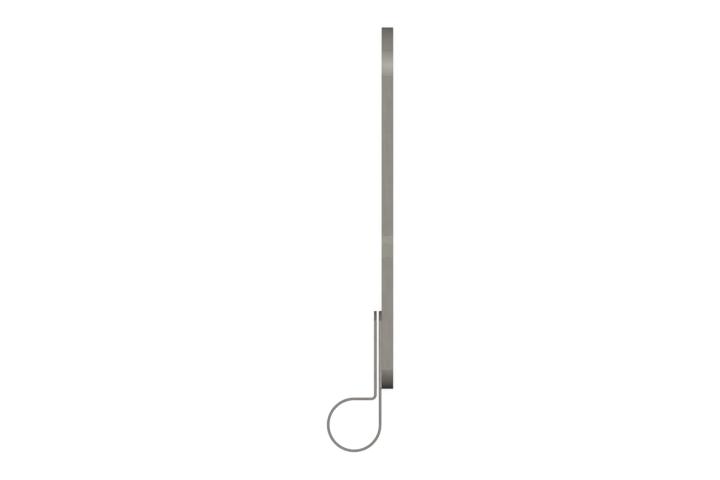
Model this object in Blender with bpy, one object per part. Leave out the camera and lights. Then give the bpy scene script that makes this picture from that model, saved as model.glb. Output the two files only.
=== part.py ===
"""Inoculating loop: a bent wire loop brazed to the side of a square metal handle.

Units are metres and +Z is up. The tool lies on its back. +Y runs up the handle, from the
loop to the end cap, and +X is to the right of the loop. The origin is on the underside of
the grip tube, halfway along it.

The handle comes apart at a union: a captive square nut in the lower half screws onto a
boss of the upper half. Turning the nut moves the whole loop head along the handle.
"""
import math

import bmesh
import bpy
from mathutils import Vector

MM = 0.001

# Handle: one square section, in pieces along Y
HANDLE_WIDTH = 5.5 * MM
EDGE_RADIUS = 0.35 * MM
END_RADIUS = 0.15 * MM
END_CAP_LENGTH = 11.0 * MM
COLLAR_LENGTH = 12.2 * MM
GRIP_LENGTH = 74.5 * MM
FERRULE_LENGTH = 4.05 * MM
SHANK_LENGTH = 52.9 * MM
NOSE_LENGTH = 8.77 * MM

# Round spigots that hold the handle's pieces in line
SPIGOT_DIAMETER = 3.0 * MM
SPIGOT_DEPTH = 8.0 * MM
NOSE_SPIGOT_DEPTH = 6.0 * MM

# Union between the two halves of the handle
BOSS_DIAMETER = 3.9 * MM
BOSS_LENGTH = 3.65 * MM
WASHER_THICKNESS = 0.3 * MM
PIN_HEAD_THICKNESS = 0.8 * MM
PIN_STEM_DIAMETER = 2.3 * MM
PIN_STEM_DEPTH = 8.0 * MM
NUT_LIP_THICKNESS = 1.4 * MM

# Wire: two parallel legs and a loop
WIRE_DIAMETER = 1.3 * MM
LEG_GAP = 0.96 * MM
LEG_OVERLAP = 36.57 * MM
LOOP_INNER_DIAMETER = 23.1 * MM
LOOP_DROP = 4.76 * MM
BEND_RADIUS = 1.9 * MM
TIP_LENGTH = 4.6 * MM
TIP_WALL = 0.12 * MM
TIP_END_THICKNESS = 0.4 * MM

# Braze filler between the fixed leg and the bar, from the wire's crown up to the wall
BRAZE_RISE = 0.2 * MM
BRAZE_MARGIN = 0.15 * MM

# Clearances
FIT_GAP = 0.05 * MM
SEAM_GAP = 0.03 * MM
BRAZE_GAP = 0.03 * MM

# Facets, and the angle over which an edge between two faces is shaded sharp
TURNED_SIDES = 40
WIRE_SIDES = 16
TIP_SIDES = 24
LOOP_STEPS = 72
BEND_STEPS = 10
EDGE_SEGMENTS = 2
ROUND_PROFILE = 0.5
BRAZE_STEPS = 8
SHARP_ANGLE = math.radians(40)

# Levels along the handle, each from the one before it
half_width = HANDLE_WIDTH / 2
grip_low = -GRIP_LENGTH / 2
grip_high = GRIP_LENGTH / 2
collar_low = grip_high + SEAM_GAP
collar_high = collar_low + COLLAR_LENGTH
cap_low = collar_high + SEAM_GAP
cap_high = cap_low + END_CAP_LENGTH
ferrule_high = grip_low - SEAM_GAP
ferrule_low = ferrule_high - FERRULE_LENGTH
nut_high = ferrule_low - SEAM_GAP
boss_low = ferrule_low - BOSS_LENGTH
washer_high = boss_low - SEAM_GAP
washer_low = washer_high - WASHER_THICKNESS
pin_high = washer_low - SEAM_GAP
pin_head_low = pin_high - PIN_HEAD_THICKNESS
nut_seat = pin_head_low - SEAM_GAP
nut_low = nut_seat - NUT_LIP_THICKNESS
shank_high = nut_low - SEAM_GAP
shank_low = shank_high - SHANK_LENGTH
nose_high = shank_low - SEAM_GAP
nose_low = nose_high - NOSE_LENGTH

# Radii that follow from the sizes above
spigot_radius = SPIGOT_DIAMETER / 2
spigot_bore_radius = spigot_radius + FIT_GAP
boss_radius = BOSS_DIAMETER / 2
nut_bore_radius = boss_radius + FIT_GAP
pin_head_radius = boss_radius - FIT_GAP
pin_stem_radius = PIN_STEM_DIAMETER / 2
pin_bore_radius = pin_stem_radius + FIT_GAP
wire_radius = WIRE_DIAMETER / 2
wire_end_radius = wire_radius - TIP_WALL - FIT_GAP
tip_bore_radius = wire_radius - TIP_WALL
loop_radius = (LOOP_INNER_DIAMETER + WIRE_DIAMETER) / 2

# Lines of the wire
fixed_leg_x = -half_width - BRAZE_GAP - wire_radius
free_leg_x = fixed_leg_x - LEG_GAP - WIRE_DIAMETER
leg_top = nose_low + LEG_OVERLAP
tip_low = leg_top - TIP_LENGTH
run_y = nose_low - LOOP_DROP
loop_x = fixed_leg_x - loop_radius
loop_y = run_y - loop_radius


def material(name, colour, roughness, metallic=1.0):
    """One Principled material with a plain colour."""
    made = bpy.data.materials.new(name)
    made.use_nodes = True
    shader = made.node_tree.nodes["Principled BSDF"]
    shader.inputs["Base Color"].default_value = (*colour, 1.0)
    shader.inputs["Roughness"].default_value = roughness
    shader.inputs["Metallic"].default_value = metallic
    return made


def add_object(name, mesh_data, finish=None):
    """Finish a bmesh into a named object on the handle's axis height."""
    bmesh.ops.recalc_face_normals(mesh_data, faces=mesh_data.faces)
    mesh = bpy.data.meshes.new(name)
    mesh_data.to_mesh(mesh)
    mesh_data.free()
    made = bpy.data.objects.new(name, mesh)
    bpy.context.scene.collection.objects.link(made)
    made.location = (0.0, 0.0, half_width)
    if finish:
        mesh.materials.append(finish)
        made.parent = frame
    return made


def square_bar(name, low, high, finish, rounded_end=0):
    """A square bar along Y with rounded long edges; rounded_end is -1, 0 or 1."""
    bar = bmesh.new()
    bmesh.ops.create_cube(bar, size=1.0)
    for vert in bar.verts:
        vert.co.x *= HANDLE_WIDTH
        vert.co.z *= HANDLE_WIDTH
        vert.co.y = high if vert.co.y > 0 else low
    middle = (low + high) / 2
    long_edges = []
    for edge in bar.edges:
        a, b = (vert.co.y for vert in edge.verts)
        if (a > middle) != (b > middle):
            long_edges.append(edge)
    bmesh.ops.bevel(bar, geom=long_edges, offset=EDGE_RADIUS, segments=EDGE_SEGMENTS,
                    profile=ROUND_PROFILE, affect="EDGES")
    end_edges = []
    for edge in bar.edges:
        a, b = (vert.co.y for vert in edge.verts)
        if min(rounded_end * (a - middle), rounded_end * (b - middle)) > 0:
            end_edges.append(edge)
    bmesh.ops.bevel(bar, geom=end_edges, offset=END_RADIUS, segments=EDGE_SEGMENTS,
                    profile=ROUND_PROFILE, affect="EDGES")
    return add_object(name, bar, finish)


def turned(name, profile, sides, finish=None, centre_x=0.0):
    """Revolve a profile of (radius, y) that starts and ends on the Y axis."""
    lathe = bmesh.new()
    rings = []
    for radius, y in profile:
        if radius == 0:
            rings.append([lathe.verts.new((centre_x, y, 0.0))])
            continue
        ring = []
        for step in range(sides):
            angle = 2 * math.pi * step / sides
            x = centre_x + radius * math.cos(angle)
            ring.append(lathe.verts.new((x, y, radius * math.sin(angle))))
        rings.append(ring)
    for first, second in zip(rings, rings[1:]):
        for step in range(sides):
            after = (step + 1) % sides
            if len(first) == 1:
                corners = (first[0], second[step], second[after])
            elif len(second) == 1:
                corners = (first[step], second[0], first[after])
            else:
                corners = (first[step], second[step], second[after], first[after])
            lathe.faces.new(corners)
    made = add_object(name, lathe, finish)
    smooth_round_faces(made)
    return made


def smooth_round_faces(made):
    """Smooth shading with sharp edges where two faces meet at a steep angle."""
    work = bmesh.new()
    work.from_mesh(made.data)
    for face in work.faces:
        face.smooth = True
    for edge in work.edges:
        edge.smooth = edge.calc_face_angle(0.0) < SHARP_ANGLE
    work.to_mesh(made.data)
    work.free()


def tool(name, radius, low, high):
    """A plain cylinder that only shapes another piece."""
    profile = [(0, low), (radius, low), (radius, high), (0, high)]
    made = turned(name, profile, TURNED_SIDES)
    made.hide_render = True
    made.display_type = "WIRE"
    return made


def shape(piece, other, operation):
    """Join a tool to a piece, or cut it out."""
    step = piece.modifiers.new(other.name, "BOOLEAN")
    step.operation = operation
    step.solver = "EXACT"
    step.object = other


def wire_path():
    """Centre points of the wire with radii: free leg, bend, run, loop, fixed leg."""
    shoulder = tip_low
    end = leg_top - TIP_END_THICKNESS - FIT_GAP
    points = [
        (free_leg_x, end, wire_end_radius),
        (free_leg_x, shoulder, wire_end_radius),
        (free_leg_x, shoulder, wire_radius),
    ]
    bend_x = free_leg_x - BEND_RADIUS
    bend_y = run_y + BEND_RADIUS
    for step in range(BEND_STEPS + 1):
        angle = -0.5 * math.pi * step / BEND_STEPS
        x = bend_x + BEND_RADIUS * math.cos(angle)
        y = bend_y + BEND_RADIUS * math.sin(angle)
        points.append((x, y, wire_radius))
    for step in range(LOOP_STEPS + 1):
        angle = 0.5 * math.pi + 1.5 * math.pi * step / LOOP_STEPS
        x = loop_x + loop_radius * math.cos(angle)
        y = loop_y + loop_radius * math.sin(angle)
        points.append((x, y, wire_radius))
    points += [
        (fixed_leg_x, shoulder, wire_radius),
        (fixed_leg_x, shoulder, wire_end_radius),
        (fixed_leg_x, end, wire_end_radius),
    ]
    return points


def swept_wire(name, points, finish):
    """Sweep a round section along points that lie in one plane."""
    places = [Vector((x, y, 0.0)) for x, y, _ in points]
    sweep = bmesh.new()
    rings = []
    for index, (_, _, radius) in enumerate(points):
        before = next((p for p in reversed(places[:index]) if p != places[index]), places[index])
        after = next((p for p in places[index + 1:] if p != places[index]), places[index])
        along = (after - before).normalized()
        across = Vector((along.y, -along.x, 0.0))
        ring = []
        for step in range(WIRE_SIDES):
            angle = 2 * math.pi * step / WIRE_SIDES
            place = places[index] + across * (radius * math.cos(angle))
            place.z += radius * math.sin(angle)
            ring.append(sweep.verts.new(place))
        rings.append(ring)
    for first, second in zip(rings, rings[1:]):
        for step in range(WIRE_SIDES):
            after = (step + 1) % WIRE_SIDES
            sweep.faces.new((first[step], second[step], second[after], first[after]))
    sweep.faces.new(rings[0])
    sweep.faces.new(rings[-1])
    smooth_round_faces(add_object(name, sweep, finish))


def leg_tip(name, centre_x, finish):
    """A thin dark cup over the reduced end of one leg."""
    mouth = tip_low + FIT_GAP
    bore_end = leg_top - TIP_END_THICKNESS
    profile = [
        (0, bore_end),
        (tip_bore_radius, bore_end),
        (tip_bore_radius, mouth),
        (wire_radius, mouth),
        (wire_radius, leg_top),
        (0, leg_top),
    ]
    turned(name, profile, TIP_SIDES, finish, centre_x)


def braze_filler(name, side, finish):
    """Filler in the corner of wire and bar; side is 1 above the wire and -1 below it."""
    wall_x = -half_width - BRAZE_GAP
    reach = wire_radius + BRAZE_GAP
    root = math.acos(wire_radius / reach)
    outline = []
    for step in range(BRAZE_STEPS + 1):
        angle = root + (0.5 * math.pi - root) * step / BRAZE_STEPS
        outline.append((fixed_leg_x + reach * math.cos(angle), reach * math.sin(angle)))
    for step in range(1, BRAZE_STEPS + 1):
        share = step / BRAZE_STEPS
        x = fixed_leg_x + (wall_x - fixed_leg_x) * share
        outline.append((x, reach + BRAZE_RISE * share ** 2))
    low = nose_low + BRAZE_MARGIN
    high = leg_top - BRAZE_MARGIN
    bead = bmesh.new()
    ends = []
    for y in (low, high):
        ends.append([bead.verts.new((x, y, side * z)) for x, z in outline])
    count = len(outline)
    for step in range(count):
        after = (step + 1) % count
        bead.faces.new((ends[0][step], ends[1][step], ends[1][after], ends[0][after]))
    bead.faces.new(ends[0])
    bead.faces.new(ends[1])
    smooth_round_faces(add_object(name, bead, finish))


for old in list(bpy.data.objects):
    bpy.data.objects.remove(old, do_unlink=True)

frame = bpy.data.objects.new("inoculating_loop", None)
bpy.context.scene.collection.objects.link(frame)

# Finishes: colour, roughness and, for the one that is no metal, metallic
SATIN_NICKEL = ((0.283, 0.262, 0.235), 0.35)
BRIGHT_NICKEL = ((0.439, 0.413, 0.381), 0.25)
DARK_NICKEL = ((0.205, 0.188, 0.171), 0.4)
FERRULE_SILVER = ((0.332, 0.323, 0.283), 0.3)
NUT_SILVER = ((0.301, 0.296, 0.254), 0.35)
BLACKENED = ((0.105, 0.096, 0.086), 0.6)
WIRE_GREY = ((0.250, 0.231, 0.216), 0.35)
TIP_GREY = ((0.133, 0.123, 0.115), 0.5)
BRAZE_SILVER = ((0.283, 0.262, 0.235), 0.45)
RED_FIBRE = ((0.25, 0.06, 0.04), 0.8, 0.0)

# End cap, with the long spigot that carries the collar and enters the grip tube
end_cap = square_bar("end_cap", cap_low, cap_high, material("end_cap", *DARK_NICKEL), 1)
cap_spigot_low = grip_high - SPIGOT_DEPTH
shape(end_cap, tool("end_cap_spigot", spigot_radius, cap_spigot_low, cap_low + EDGE_RADIUS), "UNION")

# Polished collar under the end cap
collar = square_bar("polished_collar", collar_low, collar_high,
                    material("polished_collar", *BRIGHT_NICKEL))
collar_bore_ends = (collar_low - SEAM_GAP, collar_high + SEAM_GAP)
shape(collar, tool("collar_bore", spigot_bore_radius, *collar_bore_ends), "DIFFERENCE")

# Grip tube, bored right through
grip = square_bar("grip_tube", grip_low, grip_high, material("grip_tube", *SATIN_NICKEL))
grip_bore_ends = (grip_low - SEAM_GAP, grip_high + SEAM_GAP)
shape(grip, tool("grip_bore", spigot_bore_radius, *grip_bore_ends), "DIFFERENCE")

# Upper ferrule: spigot up into the grip tube, screw boss down into the nut
ferrule = square_bar("upper_ferrule", ferrule_low, ferrule_high,
                     material("upper_ferrule", *FERRULE_SILVER))
ferrule_middle = (ferrule_low + ferrule_high) / 2
ferrule_spigot_high = grip_low + SPIGOT_DEPTH
shape(ferrule, tool("ferrule_spigot", spigot_radius, ferrule_middle, ferrule_spigot_high), "UNION")
shape(ferrule, tool("ferrule_boss", boss_radius, boss_low, ferrule_middle), "UNION")

# Coupling nut: counterbored for the boss, with a lip under the pin's head
nut = square_bar("coupling_nut", nut_low, nut_high, material("coupling_nut", *NUT_SILVER))
shape(nut, tool("nut_counterbore", nut_bore_radius, nut_seat, nut_high + SEAM_GAP), "DIFFERENCE")
shape(nut, tool("nut_lip_hole", pin_bore_radius, nut_low - SEAM_GAP, nut_seat + SEAM_GAP), "DIFFERENCE")

# Seal washer between the boss and the pin's head
washer_profile = [
    (0, washer_low),
    (pin_head_radius, washer_low),
    (pin_head_radius, washer_high),
    (0, washer_high),
]
turned("joint_washer", washer_profile, TURNED_SIDES, material("joint_washer", *RED_FIBRE))

# Headed pin that hangs the loop head in the nut
pin_low = shank_high - PIN_STEM_DEPTH
pin_profile = [
    (0, pin_low),
    (pin_stem_radius, pin_low),
    (pin_stem_radius, pin_head_low),
    (pin_head_radius, pin_head_low),
    (pin_head_radius, pin_high),
    (0, pin_high),
]
turned("coupling_pin", pin_profile, TURNED_SIDES, material("coupling_pin", *SATIN_NICKEL))

# Shank, bored at the top for the pin and at the bottom for the nose
shank = square_bar("shank", shank_low, shank_high, material("shank", *SATIN_NICKEL))
pin_bore_low = pin_low - SEAM_GAP
shape(shank, tool("pin_bore", pin_bore_radius, pin_bore_low, shank_high + SEAM_GAP), "DIFFERENCE")
nose_spigot_high = shank_low + NOSE_SPIGOT_DEPTH
nose_bore_high = nose_spigot_high + SEAM_GAP
shape(shank, tool("nose_bore", spigot_bore_radius, shank_low - SEAM_GAP, nose_bore_high), "DIFFERENCE")

# Blackened nose with its spigot
nose = square_bar("nose_cap", nose_low, nose_high, material("nose_cap", *BLACKENED), -1)
shape(nose, tool("nose_spigot", spigot_radius, nose_high - EDGE_RADIUS, nose_spigot_high), "UNION")

# Wire, its two dark tips and the braze along the fixed leg
swept_wire("loop_wire", wire_path(), material("loop_wire", *WIRE_GREY))
leg_tip("free_leg_tip", free_leg_x, material("free_leg_tip", *TIP_GREY))
leg_tip("fixed_leg_tip", fixed_leg_x, material("fixed_leg_tip", *TIP_GREY))
braze_filler("upper_braze", 1, material("upper_braze", *BRAZE_SILVER))
braze_filler("lower_braze", -1, material("lower_braze", *BRAZE_SILVER))
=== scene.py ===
# %% [markdown]
# # An inoculating loop, finished in Blender
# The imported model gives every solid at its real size, in metres. The tool lies on its
# back: +Y runs up the handle, +X points from the loop to the handle and +Z is up. This
# lesson rebuilds each visible solid with finer edges and gives it the finish of the real
# metal. No piece is moved or resized, because the solids still set the motion.

# %% Load the fixed frame
import math

import bmesh
import bpy
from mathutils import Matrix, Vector


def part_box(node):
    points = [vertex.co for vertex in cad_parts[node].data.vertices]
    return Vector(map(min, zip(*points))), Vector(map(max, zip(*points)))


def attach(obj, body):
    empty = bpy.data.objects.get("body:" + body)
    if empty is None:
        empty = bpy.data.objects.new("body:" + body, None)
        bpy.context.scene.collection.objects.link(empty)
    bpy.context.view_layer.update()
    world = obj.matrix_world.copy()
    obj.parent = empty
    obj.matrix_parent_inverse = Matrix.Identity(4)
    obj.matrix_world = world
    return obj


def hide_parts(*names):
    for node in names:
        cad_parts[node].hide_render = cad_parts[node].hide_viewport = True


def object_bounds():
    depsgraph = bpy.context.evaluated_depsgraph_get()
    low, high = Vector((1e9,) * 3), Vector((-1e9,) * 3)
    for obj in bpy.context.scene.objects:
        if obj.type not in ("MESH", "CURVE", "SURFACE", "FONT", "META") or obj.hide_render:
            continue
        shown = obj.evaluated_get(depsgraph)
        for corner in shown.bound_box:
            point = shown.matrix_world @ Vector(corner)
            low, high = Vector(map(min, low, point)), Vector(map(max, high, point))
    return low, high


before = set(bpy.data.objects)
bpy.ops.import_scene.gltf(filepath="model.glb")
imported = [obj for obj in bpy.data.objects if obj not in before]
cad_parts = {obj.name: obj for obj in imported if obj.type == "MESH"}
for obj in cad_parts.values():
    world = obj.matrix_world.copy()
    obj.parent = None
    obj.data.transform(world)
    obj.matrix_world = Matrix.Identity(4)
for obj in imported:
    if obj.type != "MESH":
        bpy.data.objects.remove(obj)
cad_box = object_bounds()
MM = 0.001

# %% [markdown]
# ## Measures
# A piece that replaces a solid must sit exactly where the solid is, so the places come
# from the solids' own boxes. Only sizes that a box can't tell, such as a bore hidden
# inside, are written here as real sizes.

# %% Read places from the solids
grip_low, grip_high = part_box("grip_tube")
tip_low, tip_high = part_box("free_leg_tip")
fixed_low, fixed_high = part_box("fixed_leg_tip")
wire_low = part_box("loop_wire")[0]

half_width = (grip_high.x - grip_low.x) / 2
axis_z = (grip_low.z + grip_high.z) / 2
wire_radius = (tip_high.x - tip_low.x) / 2
free_x = (tip_low.x + tip_high.x) / 2
fixed_x = (fixed_low.x + fixed_high.x) / 2
loop_radius = (fixed_x - wire_radius - wire_low.x) / 2
loop_centre = Vector((fixed_x - loop_radius, wire_low.y + wire_radius + loop_radius, axis_z))
run_y = loop_centre.y + loop_radius

SPIGOT_RADIUS = 1.5 * MM
BORE_RADIUS = 1.55 * MM
BOSS_RADIUS = 1.95 * MM
NUT_BORE_RADIUS = 2.0 * MM
PIN_BORE_RADIUS = 1.2 * MM
NUT_LIP = 1.4 * MM
print(f"handle {2 * half_width / MM:.2f} mm square, wire {2 * wire_radius / MM:.2f} mm")
print(f"loop {2 * loop_radius / MM:.2f} mm across at the wire's centre")

# %% [markdown]
# ## Camera
# The tool is seen square on, from very far away: both sides of the bar stay parallel and
# no side face shows. The camera therefore looks straight down through a long lens. The
# picture is 720 pixels wide, and the tool's length fills a known number of its rows, which
# gives the size of one pixel at the tool.

# %% Place the camera above the bench
PICTURE_WIDTH = 720
PICTURE_CENTRE = (360.0, 240.0)
HANDLE_AXIS_COLUMN = 387.42
HANDLE_TOP_ROW = 27.57
LOOP_BOTTOM_ROW = 452.2
CAMERA_HEIGHT = 3.0
SENSOR = 36.0
PIXEL = (cad_box[1].y - cad_box[0].y) / (LOOP_BOTTOM_ROW - HANDLE_TOP_ROW)

camera_data = bpy.data.cameras.new("bench_camera")
camera_data.sensor_width = SENSOR
camera_data.lens = SENSOR * (CAMERA_HEIGHT - axis_z) / (PICTURE_WIDTH * PIXEL)
camera = bpy.data.objects.new("bench_camera", camera_data)
bpy.context.scene.collection.objects.link(camera)
camera.location = (
    (PICTURE_CENTRE[0] - HANDLE_AXIS_COLUMN) * PIXEL,
    wire_low.y + (LOOP_BOTTOM_ROW - PICTURE_CENTRE[1]) * PIXEL,
    CAMERA_HEIGHT,
)
bpy.context.scene.camera = camera
print(f"lens {camera_data.lens:.0f} mm, one pixel is {PIXEL / MM:.3f} mm")

# %% [markdown]
# ## Helpers for colours and nodes
# Colours are written as sRGB hex, as a paint program shows them, and turned to the
# linear values that Blender wants, by the formula of the sRGB standard. One helper adds
# any node, sets its values and links its inputs, so a material reads from top to bottom.

# %% Colour and node helpers
# A Mix node keeps its two colours and its colour result at these places.
MIX_A = 6
MIX_B = 7
MIX_RESULT = 2


def linear(hex_colour):
    """Turn an sRGB hex colour into linear RGBA."""
    values = []
    for start in (1, 3, 5):
        value = int(hex_colour[start:start + 2], 16) / 255
        values.append(value / 12.92 if value <= 0.04045 else ((value + 0.055) / 1.055) ** 2.4)
    return (*values, 1.0)


def add(tree, kind, inputs=None, **settings):
    """Add one node, with its settings, its values and its links."""
    node = tree.nodes.new(kind)
    for name, value in settings.items():
        setattr(node, name, value)
    for name, value in (inputs or {}).items():
        if isinstance(value, bpy.types.NodeSocket):
            tree.links.new(value, node.inputs[name])
        else:
            node.inputs[name].default_value = value
    return node


print("#808080 is", [round(value, 3) for value in linear("#808080")], "in linear light")

# %% [markdown]
# ## Bench and light
# The bench is a plain pale sheet. Lamps could light the tool, but each would show as a
# spot in the metal, so a wide, even sky of soft light stands in for a light tent. It is
# brightest overhead, so the flat top of the bar shows its own colour, and it falls off to
# the sides, so rounded edges turn darker. The sheet glows a little for the camera and in
# reflections, which keeps it white, and it still takes the tool's soft shadow, because the
# rest of its brightness is plain matt card.

# %% Bench sheet
BENCH_SIZE = 8.0
BENCH_GLOW = 0.86
BENCH_CARD = "#808080"

bpy.ops.object.select_all(action="DESELECT")
bpy.ops.mesh.primitive_plane_add(size=BENCH_SIZE, location=(0, 0, cad_box[0].z))
bench = bpy.context.object
bench.name = "bench_sheet"
bench_paper = bpy.data.materials.new("matt_white_card")
bench_paper.use_nodes = True
tree = bench_paper.node_tree
tree.nodes.clear()
rays = add(tree, "ShaderNodeLightPath")
seen = add(tree, "ShaderNodeMath", {0: rays.outputs["Is Camera Ray"],
                                    1: rays.outputs["Is Glossy Ray"]}, operation="ADD")
seen = add(tree, "ShaderNodeMath", {0: seen.outputs[0], 1: rays.outputs["Is Transmission Ray"]},
           operation="ADD", use_clamp=True)
glow = add(tree, "ShaderNodeMath", {0: seen.outputs[0], 1: BENCH_GLOW}, operation="MULTIPLY")
matt = add(tree, "ShaderNodeBsdfDiffuse", {"Color": linear(BENCH_CARD)})
light = add(tree, "ShaderNodeEmission", {"Strength": glow.outputs[0]})
both = add(tree, "ShaderNodeAddShader", {0: matt.outputs[0], 1: light.outputs[0]})
add(tree, "ShaderNodeOutputMaterial", {"Surface": both.outputs[0]})
bench.data.materials.append(bench_paper)
print("bench at", round(bench.location.z, 5))

# %% Light tent
SKY_TOP = "#FFFFFF"
SKY_SIDE = "#B4B4B4"
SKY_TOP_FROM = 0.85

world = bpy.data.worlds.new("light_tent")
world.use_nodes = True
tree = world.node_tree
tree.nodes.clear()
place = add(tree, "ShaderNodeTexCoord")
split = add(tree, "ShaderNodeSeparateXYZ", {"Vector": place.outputs["Generated"]})
sky = add(tree, "ShaderNodeValToRGB", {"Fac": split.outputs["Z"]})
sky.color_ramp.elements[0].color = linear(SKY_SIDE)
sky.color_ramp.elements[1].position = SKY_TOP_FROM
sky.color_ramp.elements[1].color = linear(SKY_TOP)
back = add(tree, "ShaderNodeBackground", {"Color": sky.outputs["Color"], "Strength": 1.0})
add(tree, "ShaderNodeOutputWorld", {"Surface": back.outputs[0]})
bpy.context.scene.world = world
bpy.context.scene.view_settings.view_transform = "Standard"
print("sky from", SKY_SIDE, "at the sides to", SKY_TOP, "overhead")

# %% [markdown]
# ## Brushed metal
# Most of the handle is nickel-plated steel with a satin, lengthwise finish. Plating and
# handling give it a warm grey, fine drawn lines along the bar and faint clouds of wear.
# Each piece could have its own set of nodes, but the finish is the same all over and only
# the tone changes. So one function makes it, and each piece gives its own colours along
# the handle. The lines are drawn about three times coarser than real satin lines, because
# finer ones would not show at all in a picture of the tool. Clean metal turns mirror-bright
# where it is seen edge on. This metal is tarnished, so a grey specular tint holds that back.

# %% Sizes of the lines and clouds
LINE_WIDTH = 0.16 * MM
LINE_LENGTH = 11.0 * MM
LINE_DEPTH = 0.004 * MM
LINE_DETAIL = 3.0
CLOUD_SIZE = 6.0 * MM
CLOUD_DETAIL = 4.0
ROUGHNESS_SPREAD = 0.06
RELIEF_PER_LINE = 5.0
GRAZING_TINT = "#808080"
# Noise seldom leaves this range, so the range is stretched over the whole change of shade.
NOISE_RANGE = {"From Min": 0.3, "From Max": 0.7}
print(f"drawn lines {LINE_WIDTH / MM:.2f} mm wide and {LINE_LENGTH / MM:.0f} mm long")


# %% Brushed metal function
def brushed_metal(name, stops, roughness, lines=0.11, clouds=0.04):
    """Satin metal whose colour follows stops of (y in metres, hex colour)."""
    finish = bpy.data.materials.new(name)
    finish.use_nodes = True
    tree = finish.node_tree
    shader = tree.nodes["Principled BSDF"]
    place = add(tree, "ShaderNodeTexCoord").outputs["Object"]
    split = add(tree, "ShaderNodeSeparateXYZ", {"Vector": place})

    # Colour along the handle: all stops are placed first, and coloured in their order
    first, last = stops[0][0], stops[-1][0]
    along = add(tree, "ShaderNodeMapRange", {"Value": split.outputs["Y"], "From Min": first,
                                             "From Max": last})
    tone = add(tree, "ShaderNodeValToRGB", {"Fac": along.outputs["Result"]})
    ramp = tone.color_ramp.elements
    while len(ramp) < len(stops):
        ramp.new(0.5)
    for step, (y, _) in zip(ramp, stops):
        step.position = (y - first) / (last - first)
    for step, (_, colour) in zip(ramp, stops):
        step.color = linear(colour)

    # Drawn lines and faint clouds
    stretch = (1 / LINE_WIDTH, 1 / LINE_LENGTH, 1 / LINE_WIDTH)
    fine = add(tree, "ShaderNodeMapping", {"Vector": place, "Scale": stretch})
    drawn = add(tree, "ShaderNodeTexNoise", {"Vector": fine.outputs["Vector"], "Scale": 1.0,
                                             "Detail": LINE_DETAIL})
    cloudy = add(tree, "ShaderNodeTexNoise", {"Vector": place, "Scale": 1 / CLOUD_SIZE,
                                              "Detail": CLOUD_DETAIL})
    line_shade = add(tree, "ShaderNodeMapRange", {"Value": drawn.outputs["Fac"], **NOISE_RANGE,
                                                  "To Min": 1 - lines, "To Max": 1 + lines})
    cloud_shade = add(tree, "ShaderNodeMapRange", {"Value": cloudy.outputs["Fac"], **NOISE_RANGE,
                                                   "To Min": 1 - clouds, "To Max": 1 + clouds})
    shade = add(tree, "ShaderNodeMath", {0: line_shade.outputs["Result"],
                                         1: cloud_shade.outputs["Result"]}, operation="MULTIPLY")
    toned = add(tree, "ShaderNodeVectorMath", {0: tone.outputs["Color"], "Scale": shade.outputs[0]},
                operation="SCALE")
    tree.links.new(toned.outputs["Vector"], shader.inputs["Base Color"])

    # Roughness and relief of the lines
    rough = add(tree, "ShaderNodeMapRange", {"Value": drawn.outputs["Fac"], **NOISE_RANGE,
                                             "To Min": roughness - ROUGHNESS_SPREAD,
                                             "To Max": roughness + ROUGHNESS_SPREAD})
    tree.links.new(rough.outputs["Result"], shader.inputs["Roughness"])
    relief = add(tree, "ShaderNodeBump", {"Height": drawn.outputs["Fac"],
                                          "Strength": RELIEF_PER_LINE * lines,
                                          "Distance": LINE_DEPTH})
    tree.links.new(relief.outputs["Normal"], shader.inputs["Normal"])
    shader.inputs["Metallic"].default_value = 1.0
    shader.inputs["Specular Tint"].default_value = linear(GRAZING_TINT)
    return finish


# %% [markdown]
# ## Square pieces of the handle
# Each length of the handle is a square bar with softly broken edges, a round bore or a
# round spigot. A cube is added at its size and place, its edges are bevelled in edit
# mode, and a cylinder is then cut out of it or joined to it. Bevelling first keeps the
# flats clean, and a weighted normal at the end keeps them looking flat.

# %% Choosing edges by their place
# Points closer than this, in metres, count as being in one place.
NEAR = 1e-6


def pick_edges(piece, wanted):
    """In edit mode, select only the edges whose two ends pass a test."""
    work = bmesh.from_edit_mesh(piece.data)
    for part in (*work.faces, *work.edges, *work.verts):
        part.select_set(False)
    for edge in work.edges:
        if wanted(edge.verts[0].co, edge.verts[1].co):
            edge.select_set(True)
    bmesh.update_edit_mesh(piece.data)


print(f"points within {NEAR / MM:.3f} mm count as one place")

# %% Square bar
EDGE_RADIUS = 0.35 * MM
EDGE_SEGMENTS = 5
END_BREAK = 0.025 * MM
END_ROUND = 0.15 * MM
END_SEGMENTS = 3
# A bevel with this profile is a quarter of a circle.
ROUND_PROFILE = 0.5


def square_bar(name, low, high, end_break=(END_BREAK, END_BREAK)):
    """A square length of the handle with rounded long edges and broken ends."""
    bpy.ops.object.select_all(action="DESELECT")
    bpy.ops.mesh.primitive_cube_add(size=1.0, location=(0, (low + high) / 2, axis_z))
    piece = bpy.context.object
    piece.name = name
    piece.scale = (2 * half_width, high - low, 2 * half_width)
    bpy.ops.object.transform_apply(location=True, rotation=True, scale=True)
    bpy.ops.object.mode_set(mode="EDIT")
    bpy.ops.mesh.select_mode(type="EDGE")
    pick_edges(piece, lambda a, b: abs(a.y - b.y) > NEAR)
    bpy.ops.mesh.bevel(offset=EDGE_RADIUS, segments=EDGE_SEGMENTS, profile=ROUND_PROFILE,
                       affect="EDGES")
    for end, width in zip((low, high), end_break):
        pick_edges(piece, lambda a, b: max(abs(a.y - end), abs(b.y - end)) < NEAR)
        bpy.ops.mesh.bevel(offset=width, segments=END_SEGMENTS, profile=ROUND_PROFILE,
                           affect="EDGES")
    bpy.ops.object.mode_set(mode="OBJECT")
    return piece


print(f"long edges rounded by {EDGE_RADIUS / MM:.2f} mm, outer ends by {END_ROUND / MM:.2f} mm")

# %% Round tools that cut a bar or join it
ROUND_SIDES = 64
# A cutter runs this far past the face that it opens.
OVERRUN = 1.0 * MM


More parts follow.
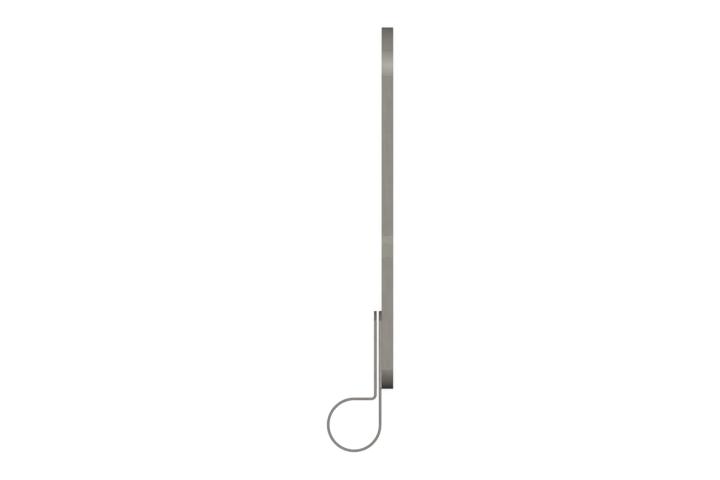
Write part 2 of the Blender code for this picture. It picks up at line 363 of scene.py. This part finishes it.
def round_tool(radius, low, high):
    """A cylinder along the handle's axis, to cut with or to join."""
    bpy.ops.object.select_all(action="DESELECT")
    bpy.ops.mesh.primitive_cylinder_add(vertices=ROUND_SIDES, radius=radius, depth=high - low,
                                        location=(0, (low + high) / 2, axis_z),
                                        rotation=(math.pi / 2, 0, 0))
    bpy.ops.object.transform_apply(location=True, rotation=True, scale=True)
    return bpy.context.object


def select_only(piece):
    """Make one piece the only selected one, and the active one."""
    bpy.ops.object.select_all(action="DESELECT")
    piece.select_set(True)
    bpy.context.view_layer.objects.active = piece


def shape_with(piece, tool, operation):
    """Cut a tool out of a piece, or join it, and take the tool away."""
    step = piece.modifiers.new("shape", "BOOLEAN")
    step.operation = operation
    step.solver = "EXACT"
    step.object = tool
    select_only(piece)
    bpy.ops.object.modifier_apply(modifier=step.name)
    bpy.data.objects.remove(tool, do_unlink=True)


print("round tools have", ROUND_SIDES, "sides")

# %% Shading and dressing
SMOOTH_ANGLE = math.radians(35)


def smooth(piece):
    """Smooth shading that leaves flats flat and corners crisp."""
    select_only(piece)
    bpy.ops.object.shade_smooth_by_angle(angle=SMOOTH_ANGLE)
    step = piece.modifiers.new("flat_faces", "WEIGHTED_NORMAL")
    step.keep_sharp = True
    bpy.ops.object.modifier_apply(modifier=step.name)


def dress(piece, finish, node, body):
    """Give a piece its finish, and let it stand for its solid."""
    piece.data.materials.clear()
    piece.data.materials.append(finish)
    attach(piece, body)
    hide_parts(node)
    print(piece.name, "stands for", node, "with", len(piece.data.polygons), "faces")


print(f"corners steeper than {math.degrees(SMOOTH_ANGLE):.0f} degrees stay sharp")

# %% [markdown]
# ## End cap and polished collar
# The top of the handle is a cap above a collar. Their colour carries a painted reflection
# that darkens the cap towards its top end, and a painted highlight that makes a bright band
# on the collar. Each could have its own run of colours, but the two would then have to be
# matched by hand at their seam. They share one run instead, and the tone changes smoothly
# from one to the other. The cap's long spigot passes through the collar into the grip.

# %% End cap and collar
cap_low, cap_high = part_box("end_cap")
collar_low, collar_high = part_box("polished_collar")
top = cap_high.y
seam = collar_low.y - grip_high.y
SATIN = "#948F88"
# Colours along the top: the plate's own satin grey, a painted highlight that makes a bright band on
# the collar, and a painted reflection that darkens the cap towards its end.
TOP_TONES_AND_PAINTED_REFLECTION = [
    (collar_low.y, SATIN),
    (collar_low.y + 5.6 * MM, "#B4AFA9"),
    (collar_high.y, "#8E8982"),
    (top - 6.0 * MM, "#847F79"),
    (top - 0.8 * MM, "#6D6964"),
    (top, "#4E4A47"),
]
cap = square_bar("end_cap_painted_dark", collar_high.y + seam, top, (END_BREAK, END_ROUND))
shape_with(cap, round_tool(SPIGOT_RADIUS, cap_low.y, collar_high.y + EDGE_RADIUS), "UNION")
smooth(cap)
# The cap is a little rougher, so it throws a broader, weaker shine than the grip. Its
# colours carry the painted reflection that darkens it towards the top.
cap_plate_painted_dark = brushed_metal("nickel_plate_painted_dark_top", TOP_TONES_AND_PAINTED_REFLECTION, roughness=0.42)
dress(cap, cap_plate_painted_dark, "end_cap", "handle")

collar = square_bar("collar_painted_highlight", collar_low.y, collar_high.y)
collar_bore = round_tool(BORE_RADIUS, collar_low.y - OVERRUN, collar_high.y + OVERRUN)
shape_with(collar, collar_bore, "DIFFERENCE")
smooth(collar)
# Polishing wears the lines away and leaves a tighter shine. The collar's bright band is
# a painted highlight.
polished_plate_painted_highlight = brushed_metal("polished_nickel_painted_highlight", TOP_TONES_AND_PAINTED_REFLECTION, roughness=0.28, lines=0.03)
dress(collar, polished_plate_painted_highlight, "polished_collar", "handle")

# %% [markdown]
# ## Grip and shank
# The long grip and the lower shank are the same satin bar. The grip is bored right
# through, and the shank only at its two ends, for the union's pin and the nose's spigot.
# The bores could be left out, as nobody sees down them while the tool is together, but
# they keep each piece true when the handle comes apart. Satin plate looks an even warm
# grey, with soft lines that run the length of the bar. One material serves both lengths.

# %% Grip and shank
shank_low, shank_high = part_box("shank")
pin_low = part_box("coupling_pin")[0]
nose_low, nose_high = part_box("nose_cap")
satin_stops = [(shank_low.y, SATIN), (grip_high.y, SATIN)]
satin_nickel = brushed_metal("satin_nickel_plate", satin_stops, roughness=0.38)

grip = square_bar("satin_grip", grip_low.y, grip_high.y)
grip_bore = round_tool(BORE_RADIUS, grip_low.y - OVERRUN, grip_high.y + OVERRUN)
shape_with(grip, grip_bore, "DIFFERENCE")
smooth(grip)
dress(grip, satin_nickel, "grip_tube", "handle")

shank = square_bar("satin_shank", shank_low.y, shank_high.y)
pin_bore = round_tool(PIN_BORE_RADIUS, pin_low.y - seam, shank_high.y + OVERRUN)
shape_with(shank, pin_bore, "DIFFERENCE")
nose_bore = round_tool(BORE_RADIUS, shank_low.y - OVERRUN, nose_high.y + seam)
shape_with(shank, nose_bore, "DIFFERENCE")
smooth(shank)
dress(shank, satin_nickel, "shank", "loop_head")

# %% [markdown]
# ## Union: ferrule and nut
# Two rings at the middle of the handle are its take-apart joint. The upper ring carries a
# threaded boss, and the lower ring is a nut that turns on it. The thread is a small
# trapezium swept along a helix by the Screw modifier. That is truer than stacked rings,
# because it shows when the joint opens. It is right-handed: turned about +Y, it climbs.
# Both rings are nickel silver, which looks a little greener than nickel plate.

# %% Thread
THREAD_LEAD = 1.0 * MM
THREAD_TURNS = 2
THREAD_START = 0.55 * MM
THREAD_ROOT = 1.62 * MM
THREAD_BASE = 0.62 * MM
THREAD_CREST = 0.22 * MM
# The ridge starts this far inside the boss, so that the two join cleanly.
THREAD_SINK = 0.05 * MM


def thread_ridge(start):
    """A helical ridge round the boss, closed at both ends."""
    bpy.ops.object.select_all(action="DESELECT")
    bpy.ops.mesh.primitive_plane_add(size=MM, location=(0, 0, 0))
    ridge = bpy.context.object
    inner = THREAD_ROOT - THREAD_SINK
    corners = [(inner, -THREAD_BASE / 2), (BOSS_RADIUS, -THREAD_CREST / 2),
               (inner, THREAD_BASE / 2), (BOSS_RADIUS, THREAD_CREST / 2)]
    for vert, (x, y) in zip(ridge.data.vertices, corners):
        vert.co = (x, start + y, 0.0)
    step = ridge.modifiers.new("helix", "SCREW")
    step.axis = "Y"
    step.angle = 2 * math.pi
    step.screw_offset = THREAD_LEAD
    step.iterations = THREAD_TURNS
    step.steps = ROUND_SIDES
    step.render_steps = ROUND_SIDES
    step.merge_threshold = NEAR
    bpy.ops.object.modifier_apply(modifier=step.name)
    bpy.ops.object.mode_set(mode="EDIT")
    bpy.ops.mesh.select_all(action="SELECT")
    bpy.ops.mesh.fill_holes(sides=0)
    bpy.ops.mesh.normals_make_consistent(inside=False)
    bpy.ops.object.mode_set(mode="OBJECT")
    ridge.location.z = axis_z
    bpy.ops.object.transform_apply(location=True, rotation=True, scale=True)
    return ridge


print(f"thread of {THREAD_TURNS} turns, {THREAD_LEAD / MM:.1f} mm apart")

# %% Threaded ferrule
FERRULE_TONE = "#9C9A91"

ferrule_low, ferrule_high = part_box("upper_ferrule")
nut_low, nut_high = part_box("coupling_nut")
ring_low = nut_high.y + seam
ring_high = grip_low.y - seam
ring_middle = (ring_low + ring_high) / 2

ferrule = square_bar("threaded_ferrule", ring_low, ring_high)
shape_with(ferrule, round_tool(SPIGOT_RADIUS, ring_middle, ferrule_high.y), "UNION")
shape_with(ferrule, round_tool(THREAD_ROOT, ferrule_low.y, ring_middle), "UNION")
shape_with(ferrule, thread_ridge(ferrule_low.y + THREAD_START), "UNION")
smooth(ferrule)
ring_stops = [(ferrule_low.y, FERRULE_TONE), (ferrule_high.y, FERRULE_TONE)]
bright_silver = brushed_metal("bright_nickel_silver", ring_stops, roughness=0.33, lines=0.03)
dress(ferrule, bright_silver, "upper_ferrule", "handle")

# %% Union nut
NUT_TONE = "#99988E"

nut = square_bar("union_nut", nut_low.y, nut_high.y)
nut_seat = nut_low.y + NUT_LIP
shape_with(nut, round_tool(NUT_BORE_RADIUS, nut_seat, nut_high.y + OVERRUN), "DIFFERENCE")
shape_with(nut, round_tool(PIN_BORE_RADIUS, nut_low.y - OVERRUN, nut_seat + OVERRUN), "DIFFERENCE")
smooth(nut)
nut_stops = [(nut_low.y, NUT_TONE), (nut_high.y, NUT_TONE)]
satin_silver = brushed_metal("satin_nickel_silver", nut_stops, roughness=0.4)
dress(nut, satin_silver, "coupling_nut", "coupling_nut")

# %% [markdown]
# ## Nose
# The lower end of the handle is heated each time the loop is burnt clean, which leaves it a
# matt, slightly blotchy skin. Its colour runs from grey at the seam to nearly black at the
# end, as a painted reflection. The same brushed finish is used, rougher and with stronger
# clouds.

# %% Nose, painted dark at its end
# The colour runs from the plate's grey at the seam to nearly black at the end: a painted
# reflection.
NOSE_TONE_AND_PAINTED_REFLECTION = [
    (nose_low.y, "#2C2827"),
    (nose_low.y + 1.4 * MM, "#474341"),
    (nose_low.y + 4.1 * MM, "#67635D"),
    (shank_low.y, "#8D8781"),
]
nose_square_high = shank_low.y - seam
nose = square_bar("blackened_nose", nose_low.y, nose_square_high, (END_ROUND, END_BREAK))
shape_with(nose, round_tool(SPIGOT_RADIUS, nose_square_high - EDGE_RADIUS, nose_high.y), "UNION")
smooth(nose)
nose_plate_painted_dark = brushed_metal("painted_dark_nose_plate", NOSE_TONE_AND_PAINTED_REFLECTION, roughness=0.55, lines=0.04,
                                clouds=0.09)
dress(nose, nose_plate_painted_dark, "nose_cap", "loop_head")

# %% [markdown]
# ## Loop wire
# One length of wire makes both legs and the loop. It could be a curve with a bevel, but
# spinning a ring about each bend's centre is how the wire is really formed: round a small
# peg for the tight bend, and round a large one for the loop. Each ring is an edge loop,
# pushed along the straights and spun round the bends. Both ends are turned down to fit
# inside the dark tips.

# %% Ways to lead the wire
TIP_WALL = 0.12 * MM
TIP_END = 0.4 * MM
FIT = 0.05 * MM
WIRE_END_SCALE = (wire_radius - TIP_WALL - FIT) / wire_radius


def push_ring(offset, scale=1.0, centre=(0, 0, 0)):
    """Extrude the selected ring along a straight, or inwards in its own plane."""
    bpy.ops.mesh.extrude_region_move(TRANSFORM_OT_translate={"value": offset})
    if scale != 1.0:
        bpy.ops.transform.resize(value=(scale, scale, scale), center_override=centre)


def spin_ring(angle, centre, steps):
    """Spin the selected ring about an upright line through a bend's centre."""
    bpy.ops.mesh.spin(steps=steps, angle=angle, center=centre, axis=(0, 0, 1))


print(f"wire ends turned down to {2 * wire_radius * WIRE_END_SCALE / MM:.2f} mm")

# %% Loop wire shape
WIRE_SIDES = 32
BEND_RADIUS = 1.9 * MM
BEND_ANGLE = 0.5 * math.pi
BEND_STEPS = 20
LOOP_ANGLE = 1.5 * math.pi
LOOP_STEPS = 140

shoulder_y = tip_low.y - FIT
end_y = tip_high.y - TIP_END - FIT
bend_centre = Vector((free_x - BEND_RADIUS, run_y + BEND_RADIUS, axis_z))
free_shoulder = (free_x, shoulder_y, axis_z)
fixed_shoulder = (fixed_x, shoulder_y, axis_z)

bpy.ops.object.select_all(action="DESELECT")
bpy.ops.mesh.primitive_circle_add(vertices=WIRE_SIDES, radius=wire_radius * WIRE_END_SCALE,
                                  location=(free_x, end_y, axis_z), rotation=(math.pi / 2, 0, 0))
wire = bpy.context.object
wire.name = "bent_wire"
bpy.ops.object.transform_apply(location=True, rotation=True, scale=True)
bpy.ops.object.mode_set(mode="EDIT")
bpy.ops.mesh.select_mode(type="EDGE")
bpy.ops.mesh.select_all(action="SELECT")
push_ring((0, shoulder_y - end_y, 0))
push_ring((0, 0, 0), 1 / WIRE_END_SCALE, free_shoulder)
push_ring((0, bend_centre.y - shoulder_y, 0))
spin_ring(BEND_ANGLE, bend_centre, BEND_STEPS)
push_ring((loop_centre.x - bend_centre.x, 0, 0))
spin_ring(-LOOP_ANGLE, loop_centre, LOOP_STEPS)
push_ring((0, shoulder_y - loop_centre.y, 0))
push_ring((0, 0, 0), WIRE_END_SCALE, fixed_shoulder)
push_ring((0, end_y - shoulder_y, 0))
bpy.ops.mesh.select_all(action="SELECT")
bpy.ops.mesh.remove_doubles(threshold=NEAR)
bpy.ops.mesh.fill_holes(sides=0)
bpy.ops.mesh.normals_make_consistent(inside=False)
bpy.ops.object.mode_set(mode="OBJECT")
print("wire from", [round(v / MM, 2) for v in wire.bound_box[0]], "to",
      [round(v / MM, 2) for v in wire.bound_box[6]])

# %% [markdown]
# ## Wire finish
# Nickel-chromium wire is drawn through dies, which leave very fine lines along it, and
# heating leaves a thin grey oxide, so it looks dull and a little patchy. A painted shade
# darkens the loop, against the white bench that it reflects, and a painted light brightens
# the legs, where the bar shades them; the two fade into each other. The lines must follow
# the bends, so each point of the wire stores where it would lie if the wire were pulled
# straight: two places across the wire and its distance along it. The material's lines and
# patches read that instead of the object's place. Die lines are much finer than the ones
# drawn here, which are as coarse as they need to be to show.

# %% Straightened wire attribute
free_leg_length = end_y - bend_centre.y
bend_length = BEND_ANGLE * BEND_RADIUS
run_length = bend_centre.x - loop_centre.x
loop_length = LOOP_ANGLE * loop_radius
between_legs = (free_x + fixed_x) / 2


def straightened(point):
    """Where a point of the bent wire lies on the straight wire."""
    x, y, z = point
    z = z - axis_z
    if y > bend_centre.y and x < between_legs:
        return (x - free_x, z, end_y - y)
    to_bend_end = free_leg_length + bend_length
    to_loop = to_bend_end + run_length
    if y > loop_centre.y and x > between_legs:
        return (x - fixed_x, z, to_loop + loop_length + y - loop_centre.y)
    if x > bend_centre.x and y > run_y - BEND_RADIUS:
        angle = math.atan2(bend_centre.y - y, x - bend_centre.x)
        out = math.hypot(x - bend_centre.x, y - bend_centre.y) - BEND_RADIUS
        return (out, z, free_leg_length + angle * BEND_RADIUS)
    if x > loop_centre.x and y > loop_centre.y:
        return (run_y - y, z, to_bend_end + bend_centre.x - x)
    # The loop starts at its top, a quarter turn round from +X.
    angle = (math.atan2(y - loop_centre.y, x - loop_centre.x) - math.pi / 2) % (2 * math.pi)
    out = math.hypot(x - loop_centre.x, y - loop_centre.y) - loop_radius
    return (-out, z, to_loop + angle * loop_radius)


store = wire.data.attributes.new("straight_wire", "FLOAT_VECTOR", "POINT")
for index, vert in enumerate(wire.data.vertices):
    store.data[index].vector = straightened(vert.co)
lengths = [item.vector[2] for item in store.data]
print(f"wire is {max(lengths) / MM:.1f} mm long, from {min(lengths) / MM:.1f}")

# %% Lines and patches on the wire
WIRE_LINE_WIDTH = 0.09 * MM
WIRE_LINE_LENGTH = 8.0 * MM
OXIDE_PATCH = 2.5 * MM

drawn_wire = bpy.data.materials.new("drawn_nickel_chromium")
drawn_wire.use_nodes = True
tree = drawn_wire.node_tree
shader = tree.nodes["Principled BSDF"]
place = add(tree, "ShaderNodeAttribute", attribute_name="straight_wire").outputs["Vector"]
stretch = (1 / WIRE_LINE_WIDTH, 1 / WIRE_LINE_WIDTH, 1 / WIRE_LINE_LENGTH)
fine = add(tree, "ShaderNodeMapping", {"Vector": place, "Scale": stretch})
drawn = add(tree, "ShaderNodeTexNoise", {"Vector": fine.outputs["Vector"], "Scale": 1.0,
                                         "Detail": LINE_DETAIL})
patch = add(tree, "ShaderNodeTexNoise", {"Vector": place, "Scale": 1 / OXIDE_PATCH,
                                         "Detail": CLOUD_DETAIL})
mixed = add(tree, "ShaderNodeMath", {0: drawn.outputs["Fac"], 1: patch.outputs["Fac"]},
            operation="ADD")
print(f"oxide patches of {OXIDE_PATCH / MM:.1f} mm, die lines {WIRE_LINE_WIDTH / MM:.2f} mm wide")

# %% Wire finish
WIRE_RELIEF = 0.3
WIRE_DARK = "#8F8985"
WIRE_LIGHT = "#A19B96"
WIRE_DULL_ROUGHNESS = 0.46
WIRE_CLEAN_ROUGHNESS = 0.34
# A painted shade on the loop and a painted light on the legs scale the colour by these.
LOOP_SHADE = 0.93
LEG_SHADE = 1.04
# Two noises added together seldom leave this range.
NOISE_SUM_RANGE = {"From Min": 0.7, "From Max": 1.3}

spread = add(tree, "ShaderNodeMapRange", {"Value": mixed.outputs[0], **NOISE_SUM_RANGE})
tone = add(tree, "ShaderNodeMix", {0: spread.outputs["Result"], MIX_A: linear(WIRE_DARK),
                                   MIX_B: linear(WIRE_LIGHT)}, data_type="RGBA")
height = add(tree, "ShaderNodeSeparateXYZ", {
    "Vector": add(tree, "ShaderNodeTexCoord").outputs["Object"]})
painted_light_on_wire = add(tree, "ShaderNodeMapRange", {"Value": height.outputs["Y"], "From Min": run_y,
                                         "From Max": nose_low.y, "To Min": LOOP_SHADE,
                                         "To Max": LEG_SHADE})
toned = add(tree, "ShaderNodeVectorMath", {0: tone.outputs[MIX_RESULT],
                                           "Scale": painted_light_on_wire.outputs["Result"]}, operation="SCALE")
rough = add(tree, "ShaderNodeMapRange", {"Value": mixed.outputs[0], **NOISE_SUM_RANGE,
                                         "To Min": WIRE_DULL_ROUGHNESS,
                                         "To Max": WIRE_CLEAN_ROUGHNESS})
relief = add(tree, "ShaderNodeBump", {"Height": drawn.outputs["Fac"], "Strength": WIRE_RELIEF,
                                      "Distance": LINE_DEPTH})
tree.links.new(toned.outputs["Vector"], shader.inputs["Base Color"])
tree.links.new(rough.outputs["Result"], shader.inputs["Roughness"])
tree.links.new(relief.outputs["Normal"], shader.inputs["Normal"])
shader.inputs["Metallic"].default_value = 1.0
shader.inputs["Specular Tint"].default_value = linear(GRAZING_TINT)
smooth(wire)
dress(wire, drawn_wire, "loop_wire", "loop_head")

# %% [markdown]
# ## Dark tips
# Each leg ends in a short dark sleeve that covers the cut end of the wire. It is a thin
# steel cup: a cylinder with a rounded top edge, whose lower face is inset and pushed in to
# make the bore. A Solidify modifier could make the wall, but it would make the closed end
# just as thin. One tip is modelled, and its copy goes to the other leg. Their colour is a
# dull dark grey, darker towards the top.

# %% Shape of a tip
TIP_ROUND = 0.08 * MM
TIP_SEGMENTS = 4
TIP_SIDES = 32

bpy.ops.object.select_all(action="DESELECT")
bpy.ops.mesh.primitive_cylinder_add(vertices=TIP_SIDES, radius=wire_radius,
                                    depth=tip_high.y - tip_low.y,
                                    location=(free_x, (tip_low.y + tip_high.y) / 2, axis_z),
                                    rotation=(math.pi / 2, 0, 0))
free_tip = bpy.context.object
free_tip.name = "free_tip"
bpy.ops.object.transform_apply(location=True, rotation=True, scale=True)
bpy.ops.object.mode_set(mode="EDIT")
bpy.ops.mesh.select_mode(type="EDGE")
pick_edges(free_tip, lambda a, b: min(a.y, b.y) > tip_high.y - NEAR)
bpy.ops.mesh.bevel(offset=TIP_ROUND, segments=TIP_SEGMENTS, profile=ROUND_PROFILE,
                   affect="EDGES")
bpy.ops.mesh.select_mode(type="FACE")
bpy.ops.mesh.select_all(action="DESELECT")
work = bmesh.from_edit_mesh(free_tip.data)
for face in work.faces:
    face.select_set(all(vert.co.y < tip_low.y + NEAR for vert in face.verts))
bmesh.update_edit_mesh(free_tip.data)
bpy.ops.mesh.inset(thickness=TIP_WALL, depth=0)
bore_depth = tip_high.y - TIP_END - tip_low.y
bpy.ops.mesh.extrude_region_move(TRANSFORM_OT_translate={"value": (0, bore_depth, 0)})
bpy.ops.object.mode_set(mode="OBJECT")
smooth(free_tip)
print(f"tip bored {bore_depth / MM:.2f} mm deep, with a wall of {TIP_WALL / MM:.2f} mm")

# %% Two dark tips
TIP_DARKENING_TO_TOP = [
    (tip_low.y, "#837C78"),
    (tip_low.y + 2.3 * MM, "#7A746F"),
    (tip_high.y, "#5A5854"),
]
dark_steel = brushed_metal("dark_tip_steel", TIP_DARKENING_TO_TOP, roughness=0.5, lines=0.05, clouds=0.06)
select_only(free_tip)
bpy.ops.object.duplicate()
fixed_tip = bpy.context.object
fixed_tip.name = "fixed_tip"
fixed_tip.location.x = fixed_x - free_x
bpy.ops.object.transform_apply(location=True, rotation=True, scale=True)
dress(free_tip, dark_steel, "free_leg_tip", "loop_head")
dress(fixed_tip, dark_steel, "fixed_leg_tip", "loop_head")

# %% [markdown]
# ## Braze
# The fixed leg is held by filler metal that fills the corner between the wire and the
# bar, in front and behind. Its face lies level with the wire's crown, rises a little to
# the bar, is lightly rippled where each drop froze and runs out thin at both ends. It has
# hardly any lines, because it was never brushed. Its grey carries a painted light against
# the shade of that corner, and beside the dark tip it darkens as the tip does. A plain bar
# pushed about by noise would also look rippled, but it would come away from the wire and
# the handle. So a flat section of that shape is extruded step by step, and each step swells
# or shrinks a little about the corner.

# %% Section of the braze
BRAZE_GAP = 0.03 * MM
ARC_STEPS = 8

bead_low, bead_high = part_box("upper_braze")


def bead_section(side):
    """Points of the filler's section: x, and height from the wire's centre."""
    wall_x = bead_high.x
    reach = wire_radius + BRAZE_GAP
    rise = bead_high.z - axis_z - reach
    root = math.acos((wall_x - fixed_x) / reach)
    points = []
    for step in range(ARC_STEPS + 1):
        angle = root + (math.pi / 2 - root) * step / ARC_STEPS
        points.append((fixed_x + reach * math.cos(angle), side * reach * math.sin(angle)))
    for step in range(1, ARC_STEPS + 1):
        share = step / ARC_STEPS
        x = fixed_x + (wall_x - fixed_x) * share
        points.append((x, side * (reach + rise * share ** 2)))
    return points


print("the section has", len(bead_section(1)), "points")

# %% Rippled bead
BEAD_STEP = 0.32 * MM
RUN_OUT = 0.35 * MM
END_SIZE = 0.25
# A ripple shrinks the section by at most this share: part always, part wave, part uneven.
RIPPLE = 0.05
RIPPLE_LENGTH = 1.9 * MM
RIPPLE_ALWAYS = 0.5
RIPPLE_WAVE = 0.35
RIPPLE_UNEVEN = 0.15
UNEVEN_PER_STEP = 2.3


def braze_bead(name, side):
    """A rippled bead of filler along the fixed leg."""
    points = bead_section(side)
    bpy.ops.object.select_all(action="DESELECT")
    bpy.ops.mesh.primitive_circle_add(vertices=len(points), radius=MM, fill_type="NGON")
    piece = bpy.context.object
    piece.name = name
    for vert, (x, z) in zip(piece.data.vertices, points):
        vert.co = (x, bead_low.y, axis_z + z)
    corner_x, corner_z = points[0]
    bpy.ops.object.mode_set(mode="EDIT")
    bpy.ops.mesh.select_mode(type="FACE")
    bpy.ops.mesh.select_all(action="SELECT")
    steps = round((bead_high.y - bead_low.y) / BEAD_STEP)
    length = (bead_high.y - bead_low.y) / steps
    size = 1.0
    for step in range(steps + 1):
        if step:
            bpy.ops.mesh.extrude_region_move(TRANSFORM_OT_translate={"value": (0, length, 0)})
        wave = RIPPLE_WAVE * math.sin(2 * math.pi * step * length / RIPPLE_LENGTH + side)
        uneven = RIPPLE_UNEVEN * math.sin(UNEVEN_PER_STEP * step)
        ripple = 1 - RIPPLE * (RIPPLE_ALWAYS + wave + uneven)
        to_end = min(1.0, min(step, steps - step) * length / RUN_OUT)
        new_size = ripple * (END_SIZE + (1 - END_SIZE) * math.sqrt(to_end * (2 - to_end)))
        ratio = new_size / size
        corner = (corner_x, bead_low.y + step * length, axis_z + corner_z)
        bpy.ops.transform.resize(value=(ratio, 1, ratio), center_override=corner)
        size = new_size
    bpy.ops.mesh.select_all(action="SELECT")
    bpy.ops.mesh.normals_make_consistent(inside=False)
    bpy.ops.object.mode_set(mode="OBJECT")
    smooth(piece)
    return piece


print(f"a bead runs {(bead_high.y - bead_low.y) / MM:.1f} mm along the leg")

# %% Front and back beads
# The filler's grey is lightened by a painted light, against the shade in the corner.
BRAZE_TONE_AND_PAINTED_LIGHT = "#A7A29A"
braze_stops = [(bead_low.y, BRAZE_TONE_AND_PAINTED_LIGHT), (tip_low.y - FIT, BRAZE_TONE_AND_PAINTED_LIGHT), *TIP_DARKENING_TO_TOP]
silver_braze = brushed_metal("silver_braze_filler", braze_stops, roughness=0.45, lines=0.02,
                             clouds=0.07)
dress(braze_bead("front_bead", 1), silver_braze, "upper_braze", "loop_head")
dress(braze_bead("back_bead", -1), silver_braze, "lower_braze", "loop_head")

# %% [markdown]
# ## Pieces inside the union
# The pin and its fibre washer are seen only when the joint is taken apart, and their plain
# turned shapes are right, so the solids stay. The pin gets the satin steel of the bar. The
# washer is vulcanised fibre: red-brown, matt and flecked with short hairs.

# %% Pin and washer finishes
FLECK_SIZE = 0.25 * MM
FLECK_DETAIL = 5.0
FLECK_RELIEF = 0.3
FIBRE_DARK = "#7A3226"
FIBRE_LIGHT = "#9A4A38"
FIBRE_ROUGHNESS = 0.75

fibre = bpy.data.materials.new("red_vulcanised_fibre")
fibre.use_nodes = True
tree = fibre.node_tree
shader = tree.nodes["Principled BSDF"]
place = add(tree, "ShaderNodeTexCoord").outputs["Object"]
flecks = add(tree, "ShaderNodeTexNoise", {"Vector": place, "Scale": 1 / FLECK_SIZE,
                                          "Detail": FLECK_DETAIL})
tone = add(tree, "ShaderNodeMix", {0: flecks.outputs["Fac"], MIX_A: linear(FIBRE_DARK),
                                   MIX_B: linear(FIBRE_LIGHT)}, data_type="RGBA")
relief = add(tree, "ShaderNodeBump", {"Height": flecks.outputs["Fac"], "Strength": FLECK_RELIEF,
                                      "Distance": LINE_DEPTH})
tree.links.new(tone.outputs[MIX_RESULT], shader.inputs["Base Color"])
tree.links.new(relief.outputs["Normal"], shader.inputs["Normal"])
shader.inputs["Roughness"].default_value = FIBRE_ROUGHNESS
for node, finish in (("joint_washer", fibre), ("coupling_pin", satin_nickel)):
    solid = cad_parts[node]
    solid.data.materials.clear()
    solid.data.materials.append(finish)
    print(node, "finished as", finish.name)
